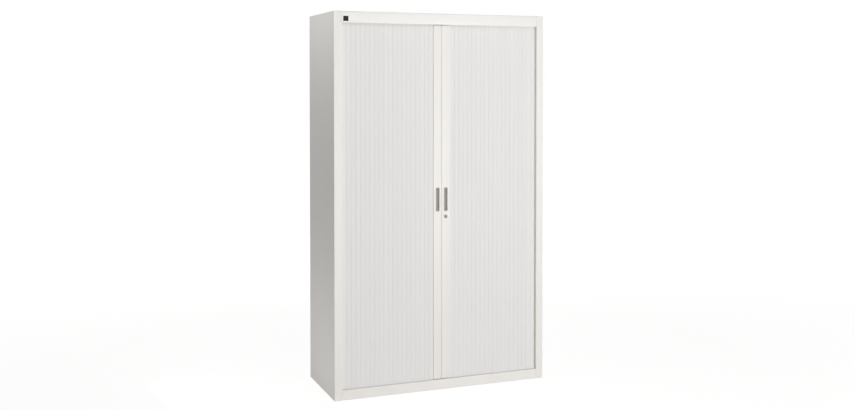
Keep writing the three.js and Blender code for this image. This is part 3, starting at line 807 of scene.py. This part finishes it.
@dataclass
class Steelwork:
    """The folded and painted outer steel: sides with their jambs, lid, header, rail and back."""

    steel: float = 0.0008
    edge: float = 0.00024
    fold: float = 0.0016
    fold_steps: int = 5
    jamb_hem: float = 0.0155
    rear_flange: float = 0.030
    end_flange: float = 0.011
    frame_return: float = 0.0117
    lip: float = 0.009
    swage_width: float = 0.060
    swage_depth: float = 0.006
    swage_slope: float = 0.008
    swage_count: int = 2

    def sheet(self, work: Work) -> Work:
        """Rounds a strip's folds and gives it the thickness of the steel.

        Args:
            work: The strip.

        Returns:
            The piece.
        """
        work.soften(self.fold, self.fold_steps, angle=10)
        work.apply("SOLIDIFY", thickness=self.steel, offset=0, use_even_offset=True)
        return work.soften(self.edge, angle=50).tidy()

    def side_panel(self, side: Side) -> None:
        """Makes one side with its jamb, hem, rear flange and end flanges.

        Args:
            side: Which side.
        """
        half = self.steel / 2
        jamb, outer = PANEL.low.x + half, PANEL.high.x - half
        front, back = PANEL.low.y + half, PANEL.high.y - half
        profile = [
            (side.value * jamb, PANEL.low.y + self.jamb_hem),
            (side.value * jamb, front),
            (side.value * outer, front),
            (side.value * outer, back),
            (side.value * (PANEL.high.x - self.rear_flange), back),
        ]
        low, high = PANEL.low.z + half, PANEL.high.z - half
        work = Work.strip(f"side_skin_{side.word}", profile, Axis.Z, low, high)
        work.select("EDGE", lambda edge: not Axis.Z.along(edge) and all(
            abs(v.co.x - side.value * outer) < TOUCH for v in edge.verts
        ))
        move = (-side.value * (self.end_flange - half), 0, 0)
        bpy.ops.mesh.extrude_edges_move(TRANSFORM_OT_translate={"value": move})
        share = 1 - 2 * (self.fold + half) / PANEL.size.y
        bpy.ops.transform.resize(value=(1, share, 1), center_override=(0, 0, 0))
        self.sheet(work.done()).dress("white_steel", "carcass", f"side_panel_{side.word}")

    def channel(self, name: str, box: Box, far: float, near: float) -> Work:
        """Folds a front channel, with a wide flange far from the doors and a lipped one near them.

        Args:
            name: The piece's name.
            box: The space of its node.
            far: The height of the wide flange.
            near: The height of the lipped flange.

        Returns:
            The piece.
        """
        half = self.steel / 2
        front, inner = box.low.y + half, box.low.y + self.frame_return - half
        profile = [
            (box.high.y, far),
            (front, far),
            (front, near),
            (inner, near),
            (inner, near + math.copysign(self.lip, far - near)),
        ]
        return self.sheet(Work.strip(name, profile, Axis.X, box.low.x, box.high.x))

    def rails(self) -> None:
        """Makes the header over the doors, with a seat for its plate, and the rail below."""
        half = self.steel / 2
        header = self.channel("header_skin", HEADER, HEADER.high.z - half, HEADER.low.z + half)
        header.combine("DIFFERENCE", Plate().seat())
        # The header wears the lighter copy of the white paint, which is painted light.
        header.dress("white_steel", "carcass", "header_rail", material=HEADER_WHITE_PAINTED_LIGHT.make())
        rail = self.channel("rail_skin", RAIL, RAIL.low.z + half, RAIL.high.z - half)
        rail.dress("white_steel", "carcass", "bottom_rail")

    def lid(self) -> None:
        """Makes the flat lid with its rounded plan corners."""
        work = Work.block("lid_skin", LID.low, LID.high)
        work.round_edges(Axis.Z.along, self.fold + self.steel / 2, self.fold_steps)
        work.soften(self.edge).tidy(angle=40).dress("white_steel", "carcass", "top_panel")

    def back_sheet(self) -> None:
        """Makes the back with its upright swages."""
        line = BACK.high.y - self.steel / 2
        profile = [(BACK.low.x, line)]
        for i in range(self.swage_count):
            middle = BACK.low.x + BACK.size.x / (self.swage_count + 1) * (i + 1)
            half = self.swage_width / 2
            profile += [
                (middle - half - self.swage_slope, line),
                (middle - half, line - self.swage_depth),
                (middle + half, line - self.swage_depth),
                (middle + half + self.swage_slope, line),
            ]
        profile.append((BACK.high.x, line))
        work = Work.strip("back_skin", profile, Axis.Z, BACK.low.z, BACK.high.z)
        self.sheet(work).dress("white_steel", "carcass", "back_panel")

    def build(self) -> None:
        """Makes all the outer steel."""
        for side in Side:
            self.side_panel(side)
        self.rails()
        self.lid()
        self.back_sheet()


@dataclass
class Plate:
    """The small bare plate at the left end of the header, flush with its face."""

    centre_x: float = -0.5265
    centre_z: float = 1.943
    width: float = 0.027
    height: float = 0.026
    thickness: float = 0.0006
    corner: float = 0.0012
    edge: float = 0.0001
    hairline: float = 0.00012

    def block(self, name: str, grow: float, depth: float) -> Work:
        """A block at the plate's place.

        Args:
            name: The piece's name.
            grow: How much further each edge reaches.
            depth: How far it reaches in front of the header's face.

        Returns:
            The block with rounded corners.
        """
        across, up, front = self.width / 2 + grow, self.height / 2 + grow, HEADER.low.y
        low = (self.centre_x - across, front - depth, self.centre_z - up)
        high = (self.centre_x + across, front + self.thickness, self.centre_z + up)
        return Work.block(name, low, high).round_edges(Axis.Y.along, self.corner + grow, segments=4)

    def seat(self) -> Work:
        """The form that the header is cut with, so that the plate lies flush in it."""
        return self.block("plate_seat", self.hairline, OVERRUN)

    def build(self) -> None:
        """Makes the plate."""
        plate = self.block("blank_plate", 0, -self.hairline / 2).soften(self.edge)
        plate.tidy(angle=40).dress("black_plastic", "carcass", material=PLATE_BLACK.make())


@dataclass
class Curtain:
    """One door's curtain of upright slats: the run behind the opening and the tail in the pocket."""

    side: Side
    pitch: float = 0.025
    gap: float = 0.0003
    crown: float = 0.0006
    crown_steps: int = 10
    edge_round: float = 0.0006
    tongue_depth: float = 0.0014
    tongue_reach: float = 0.0026
    tongue_tip: float = 0.0011
    tongue_root: float = 0.0014
    root_inset: float = 0.002
    back_depth: float = 0.0016
    back_inset: float = 0.003
    mouth_foot: float = 0.0042
    mouth_top: float = 0.0038
    play: float = 0.0002
    hem_front: float = 0.0026
    hem_rear: float = 0.0014
    bend_start: float = 0.539
    radius: float = 0.040
    front_slats: int = 19
    tail_slats: int = 4
    split: float = 0.538
    travel: float = 0.485

    def section(self) -> list[Point]:
        """Draws one slat about its middle.

        Returns:
            The outline: x along the run, y towards the back.
        """
        half = (self.pitch - self.gap) / 2
        edge = -SLAT_CREST + self.crown
        outline = [(-half, edge + self.edge_round)]
        for i in range(self.crown_steps + 1):
            across = (i / self.crown_steps * 2 - 1) * (1 - 2 * self.edge_round / self.pitch)
            outline.append((half * across, -SLAT_CREST + self.crown * across * across))
        shelf = edge + self.tongue_depth
        return outline + [
            (half, edge + self.edge_round),
            (half, shelf),
            (half + self.tongue_reach, shelf),
            (half + self.tongue_reach, shelf + self.tongue_tip),
            (half - self.root_inset, shelf + self.tongue_root),
            (half - self.back_inset, self.back_depth),
            (-half + self.mouth_foot, self.back_depth),
            (-half + self.mouth_top, shelf - self.play),
            (-half, shelf - self.play),
        ]

    def slat(self) -> Work:
        """Models one slat.

        Returns:
            The slat, standing about the origin.
        """
        outline = self.section()
        work = Work.strip("slat", [*outline, outline[0]], Axis.Z, CURTAIN.low.z, CURTAIN.high.z)
        work.edit("VERT", "SELECT")
        bpy.ops.mesh.remove_doubles(threshold=TOUCH)
        bpy.ops.mesh.select_all(action="SELECT")
        bpy.ops.mesh.fill_holes(sides=0)
        return work.done()

    def route(self, number: int) -> tuple[Vector, float]:
        """Follows the track to the middle of one slat.

        Args:
            number: How many slats lie between it and the stile.

        Returns:
            Its place, and the turn of the track there in radians.
        """
        distance = STILE.high.x + self.pitch * (number + 0.5)
        arc = self.radius * math.pi / 2
        turn = min(max(distance - self.bend_start, 0), arc) / self.radius
        x = min(distance, self.bend_start) + self.radius * math.sin(turn)
        y = CURTAIN_LINE + self.radius * (1 - math.cos(turn)) + max(distance - self.bend_start - arc, 0)
        return Vector((self.side.value * x, y, 0)), self.side.value * turn

    def trim(self, work: Work, keep_outer: bool) -> None:
        """Cuts a piece at the split between the run and the tail, and keeps one part.

        Args:
            work: The piece.
            keep_outer: True to keep the part beyond the split.
        """
        sign = self.side.value
        work.edit("FACE", "SELECT")
        bpy.ops.mesh.bisect(
            plane_co=(sign * self.split, 0, 0),
            plane_no=(sign, 0, 0),
            use_fill=True,
            clear_inner=keep_outer,
            clear_outer=not keep_outer,
        )
        work.done()

    def hem(self) -> Work:
        """Makes the flat hem that plugs into the stile.

        Returns:
            The hem.
        """
        ends = sorted(self.side.value * x for x in (CURTAIN.low.x, STILE.high.x + self.play))
        low = (ends[0], CURTAIN_LINE - self.hem_front, CURTAIN.low.z)
        return Work.block("hem", low, (ends[1], CURTAIN_LINE + self.hem_rear, CURTAIN.high.z))

    def build(self) -> None:
        """Makes the run up to the split, and the tail beyond it."""
        sign, word = self.side.value, self.side.word
        model = self.slat()
        run = model.copy(f"curtain_run_{word}", *self.route(0))
        run.apply(
            "ARRAY",
            count=self.front_slats + 1,
            use_relative_offset=False,
            use_constant_offset=True,
            constant_offset_displace=(sign * self.pitch, 0, 0),
        )
        self.trim(run, False)
        run.join(self.hem()).tidy(angle=30).dress("slat_plastic", "carcass", f"curtain_{word}")
        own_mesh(run.object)
        numbers = range(self.front_slats, self.front_slats + 1 + self.tail_slats)
        start, *others = [model.copy(f"curtain_tail_{word}", *self.route(i)) for i in numbers]
        self.trim(start, True)
        start.join(*others).tidy(angle=30).dress("slat_plastic", "carcass", f"curtain_{word}")
        bpy.data.objects.remove(model.object)


@dataclass
class Stile:
    """The stiff lead stile of one door: a coated tube with a grip window and lock cut-outs."""

    side: Side
    inner: float = 0.0006
    wall: float = 0.0015
    edge: float = 0.0003
    outer_round: float = 0.0021
    inner_round: float = 0.0009
    rear_round: float = 0.001
    hem_slot_half: float = 0.0036
    window_inset: float = 0.0019
    lock_bore: float = 0.0088
    hook_slot: Point = (-0.2139, -0.209)
    hook_heights: Point = (0.8758, 0.9192)

    def span(self, name: str, x: Point, y: Point, z: Point) -> Work:
        """A block given by distances from the meeting line on this side."""
        ends = sorted(self.side.value * value for value in x)
        return Work.block(name, (ends[0], y[0], z[0]), (ends[1], y[1], z[1]))

    def corner(self, x: float, y: float) -> Rule:
        """A rule for the upright edge at a distance from the meeting line and at a depth."""
        place = Vector((self.side.value * x, y))
        return lambda edge: Axis.Z.along(edge) and (edge.verts[0].co.xy - place).length < TOUCH

    def tube(self) -> Work:
        """Models the rounded tube.

        Returns:
            The tube, open at both ends.
        """
        (_, face, bottom), (outer, rear, top) = STILE
        work = self.span(f"stile_skin_{self.side.word}", (self.inner, outer), (face, rear), (bottom, top))
        work.round_edges(self.corner(outer, face), self.outer_round, segments=5)
        work.round_edges(self.corner(self.inner, face), self.inner_round, segments=4)
        work.round_edges(
            lambda edge: Axis.Z.along(edge) and abs(edge.verts[0].co.y - rear) < TOUCH,
            self.rear_round,
            segments=3,
        )
        work.select("FACE", lambda face: abs(face.normal.z) > PARALLEL)
        bpy.ops.mesh.delete(type="FACE")
        return work.done().apply("SOLIDIFY", thickness=self.wall, offset=-1, use_even_offset=True)

    def build(self) -> None:
        """Models the tube and cuts its openings."""
        word, grip = self.side.word, Box.of("grip_right")
        through = (STILE.low.y - OVERRUN, STILE.low.y + self.wall * 2)
        inwards = (self.inner - OVERRUN, self.inner + self.wall * 2)
        cutters = [
            self.span(
                "hem_slot",
                (STILE.high.x - self.wall * 2, STILE.high.x + OVERRUN),
                (CURTAIN_LINE - self.hem_slot_half, CURTAIN_LINE + self.hem_slot_half),
                (STILE.low.z - OVERRUN, STILE.high.z + OVERRUN),
            ),
            self.span(
                "grip_window",
                (grip.low.x + self.window_inset, grip.high.x - self.window_inset),
                through,
                (grip.low.z + self.window_inset, grip.high.z - self.window_inset),
            ),
            self.span("hook_slot", inwards, self.hook_slot, self.hook_heights),
        ]
        if self.side is Side.RIGHT:
            centre = (HOUSING.middle.x, HOUSING.middle.z)
            cutters.append(Work.rod("lock_bore", self.lock_bore, Axis.Y, centre, *through))
        work = self.tube().combine("DIFFERENCE", *cutters)
        work.soften(self.edge, angle=50).tidy()
        work.dress("stile_white", f"{word}_door", f"stile_{word}")


@dataclass
class Grip:
    """A moulded finger cup with a flat rim, let into the face of one stile."""

    side: Side
    corner: float = 0.003
    edge: float = 0.0004
    rim: float = 0.0012
    rim_width: float = 0.0022
    wall: float = 0.0013
    depth: float = 0.0137
    draft: float = 0.0016
    seat: float = 0.0003

    def build(self) -> None:
        """Models the rim, the body behind it and the well."""
        word = self.side.word
        box = Box.of(f"grip_{word}")
        behind = box.low.y + self.rim
        work = Work.block(f"grip_cup_{word}", box.low, (box.high.x, behind, box.high.z))
        work.round_edges(Axis.Y.along, self.corner, segments=6)
        work.push(Axis.Y.facing, self.rim_width, (0, box.high.y - behind, 0))
        inset = self.rim_width + self.wall
        well = Work.block(
            "well",
            (box.low.x + inset, box.low.y - self.seat, box.low.z + inset),
            (box.high.x - inset, box.low.y + self.depth, box.high.z - inset),
        )
        well.round_edges(Axis.Y.along, self.corner - self.wall, segments=5)
        share = (1 - self.draft * 2 / box.size.x, 1, 1 - self.draft * 2 / box.size.z)
        well.taper(Axis.Y.facing, share, box.middle)
        work.combine("DIFFERENCE", well).soften(self.edge, segments=3).tidy()
        work.dress("grip_grey", f"{word}_door", f"grip_{word}")


@dataclass
class Lock:
    """The cam lock in the right stile: a plated rim and the core with its keyway."""

    rim_sides: int = 64
    rim_edge: float = 0.0007
    body_radius: float = 0.0085
    core_radius: float = 0.006
    core_recess: float = 0.0006
    core_edge: float = 0.0002
    clearance: float = 0.0003
    slot_width: float = 0.0015
    slot_height: float = 0.0075
    slot_depth: float = 0.005
    drive_side: float = 0.006
    drive_length: float = 0.0028
    drive_root: float = 0.001

    def bar(self, name: str, width: float, height: float, front: float, rear: float) -> Work:
        """A bar on the lock's axis, from its front to its rear."""
        (x, _, z), across, up = HOUSING.middle, width / 2, height / 2
        return Work.block(name, (x - across, front, z - up), (x + across, rear, z + up))

    def build(self) -> None:
        """Models the housing and the core."""
        centre, radius = (HOUSING.middle.x, HOUSING.middle.z), HOUSING.size.x / 2
        front, rear = HOUSING.low.y, HOUSING.high.y
        behind = STILE.low.y - self.clearance
        housing = Work.rod("lock_rim", radius, Axis.Y, centre, front, behind, self.rim_sides)
        housing.push(Axis.Y.facing, radius - self.body_radius, (0, rear - behind, 0))
        bore_radius = self.core_radius + self.clearance
        bore = Work.rod("bore", bore_radius, Axis.Y, centre, front - OVERRUN, rear + OVERRUN)
        housing.combine("DIFFERENCE", bore).soften(self.rim_edge, segments=3, angle=50).tidy()
        housing.dress("nickel", "right_door", "lock_housing")
        face = front + self.core_recess
        core = Work.rod("lock_plug", self.core_radius, Axis.Y, centre, face, rear)
        drive = self.bar(
            "drive", self.drive_side, self.drive_side, rear - self.drive_root, rear + self.drive_length
        )
        keyway = self.bar(
            "keyway", self.slot_width, self.slot_height, front - OVERRUN, face + self.slot_depth
        )
        core.combine("UNION", drive).combine("DIFFERENCE", keyway)
        core.soften(self.core_edge, angle=50).tidy().dress("nickel", "lock", "lock_core")


@dataclass
class Foot:
    """A levelling foot: a glide pad with a dished shoulder on a threaded stem."""

    place: str
    pad: float = 0.008
    neck: float = 0.0066
    stem: float = 0.005
    edge: float = 0.0006

    def build(self) -> None:
        """Models the pad, its sloping shoulder and the stem in one turned piece."""
        box = Box.of(f"foot_{self.place}")
        (x, y, _), radius = box.middle, box.size.x / 2
        work = Work.rod(f"foot_pad_{self.place}", radius, Axis.Z, (x, y), 0, self.pad / 2)
        work.push(Axis.Z.facing, 0, (0, 0, self.pad / 2))
        share = self.neck / radius
        work.taper(Axis.Z.facing, (share, share, 1), (x, y, 0))
        work.push(Axis.Z.facing, self.neck - self.stem, (0, 0, box.high.z - self.pad))
        work.soften(self.edge, segments=3).tidy().dress("black_plastic", "carcass", f"foot_{self.place}")


def carry_nodes() -> None:
    """Gives every CAD node the finish of its slot, for those that still show."""
    slots = {part["node"]: part["material_slot"] for part in frame["record"]["subparts"]}
    for name, item in sorted(frame["nodes"].items()):
        material = bpy.data.materials[FINISHES[slots[name]].name]
        item.data.materials.clear()
        item.data.materials.append(material)
        if not item.hide_render:
            log.info("%s: frame node in %s", name, material.name)


# Stage


@dataclass(frozen=True)
class Lamp:
    """A soft rectangular lamp, with its width and height, and its power in watts."""

    name: str
    place: Place
    target: Place
    size: Point
    power: float

    def hang(self) -> None:
        """Hangs the lamp and points it at its target."""
        data = bpy.data.lights.new(self.name, "AREA")
        data.shape = "RECTANGLE"
        data.size, data.size_y = self.size
        data.energy = self.power
        item = bpy.data.objects.new(self.name, data)
        bpy.context.scene.collection.objects.link(item)
        item.location = self.place
        way = Vector(self.target) - Vector(self.place)
        item.rotation_euler = way.to_track_quat("-Z", "Y").to_euler()
        item.visible_camera = False


LAMPS = (
    Lamp("right_mid", (2.3, -4.2, 1.0), (0.2, -0.2, 1.0), (2.0, 2.0), 45.3),
    Lamp("centre", (0.3, -6.5, 1.8), (0.0, -0.2, 1.0), (3.0, 2.5), 19.2),
    Lamp("low", (0.2, -5.5, 0.5), (0.0, -0.2, 0.6), (3.0, 0.8), 82.2),
    Lamp("upper", (0.2, -3.2, 4.2), (0.1, -0.2, 1.2), (2.2, 1.4), 33.1),
    Lamp("steep", (-0.3, -1.6, 3.4), (-0.2, -0.2, 1.6), (1.6, 0.6), 3.8),
    Lamp("side_up", (-1.35, -0.05, 2.45), (-0.6, 0.0, 1.95), (0.7, 0.5), 4.8),
    Lamp("side_down", (-1.4, -0.1, 0.14), (-0.6, 0.0, 0.2), (0.9, 0.2), 1.5),
    Lamp("rear", (0.8, 5.0, 2.6), (0, 0.2, 1.1), (3.0, 2.0), 100),
)


@dataclass
class Stage:
    """The camera, the pale floor and the white surround."""

    camera_place: Place = (-2.018, -5.289, 1.601)
    camera_yaw: float = 21.65
    camera_pitch: float = -1.3
    sensor_width: float = 36
    focal_pixels: float = 1035.5
    image_width: float = 854
    image_height: float = 410
    centre_x: float = 440.0
    centre_y: float = 109.6
    ambient: float = 0.12
    floor_size: float = 60
    floor_drop: float = 0.0004
    floor_dark: Colour = (0.82, 0.795, 0.77)
    floor_pale: Colour = (0.84, 0.815, 0.79)
    floor_cloud: Grain = Grain(1.5)
    floor_glow: float = 0.8
    floor_level: float = 1.14
    far_level: float = 1.24
    far_start: float = 2.0
    far_reach: float = 4.0

    def camera(self) -> None:
        """Sets the camera at the photograph's angle."""
        data = bpy.data.cameras.new("camera")
        item = bpy.data.objects.new("camera", data)
        bpy.context.scene.collection.objects.link(item)
        item.location = self.camera_place
        item.rotation_euler = (math.radians(90 + self.camera_pitch), 0, math.radians(-self.camera_yaw))
        data.sensor_width = self.sensor_width
        data.lens = self.focal_pixels * self.sensor_width / self.image_width
        data.shift_x = (self.image_width / 2 - self.centre_x) / self.image_width
        data.shift_y = (self.centre_y - self.image_height / 2) / self.image_width
        bpy.context.scene.camera = item

    @staticmethod
    def seen(shader: Shader) -> Signal:
        """Marks the rays that show the background itself, in the view or in a gloss.

        Args:
            shader: The tree that it is for.

        Returns:
            One for such a ray, and else zero.
        """
        path = shader.add("ShaderNodeLightPath")
        camera, glossy, through = (
            Signal(shader, path.outputs[f"Is {kind} Ray"]) for kind in ("Camera", "Glossy", "Transmission")
        )
        return (camera + glossy + through).limit()

    def surround(self) -> None:
        """Makes the world white to the eye, and a softer white as light."""
        shader = Shader.for_world("studio")
        level = self.seen(shader) * (1 - self.ambient) + self.ambient
        shader.end(shader.add("ShaderNodeBackground", None, {"Color": (1, 1, 1, 1), "Strength": level}))

    def floor(self) -> None:
        """Lays the pale floor, which shows near white and keeps the shadow."""
        Work.clear_selection()
        bpy.ops.mesh.primitive_plane_add(size=self.floor_size, location=(0, 0, -self.floor_drop))
        item = bpy.context.active_object
        item.name = "studio_floor"
        shader = Shader.for_material("floor_white")
        colour = shader.blend(shader.noise(self.floor_cloud), self.floor_dark, self.floor_pale)
        matt = shader.add("ShaderNodeBsdfDiffuse", None, {"Color": colour})
        far = shader.add("ShaderNodeVectorMath", {"operation": "LENGTH"}, {0: shader.places()})
        share = ((Signal(shader, far.outputs["Value"]) - self.far_start) * (1 / self.far_reach)).limit()
        level = share * (self.far_level - self.floor_level) + self.floor_level
        glow = shader.add("ShaderNodeEmission", None, {"Strength": level})
        sockets = {0: self.seen(shader) * self.floor_glow, 1: matt.outputs[0], 2: glow.outputs[0]}
        item.data.materials.append(shader.end(shader.add("ShaderNodeMixShader", None, sockets)))

    def build(self) -> None:
        """Sets up the whole studio."""
        self.camera()
        self.surround()
        self.floor()
        for lamp in LAMPS:
            lamp.hang()
        bpy.context.scene.view_settings.view_transform = "Standard"


def main() -> None:
    """Builds the studio and every piece of the cupboard."""
    logging.basicConfig(level=logging.INFO, format="%(message)s")
    for finish in FINISHES.values():
        finish.make()
    Stage().build()
    Steelwork().build()
    Plate().build()
    for side in Side:
        Curtain(side).build()
        Stile(side).build()
        Grip(side).build()
    Lock().build()
    for end in ("front", "rear"):
        for side in Side:
            Foot(f"{end}_{side.word}").build()
    carry_nodes()


if __name__ == "__main__":
    main()
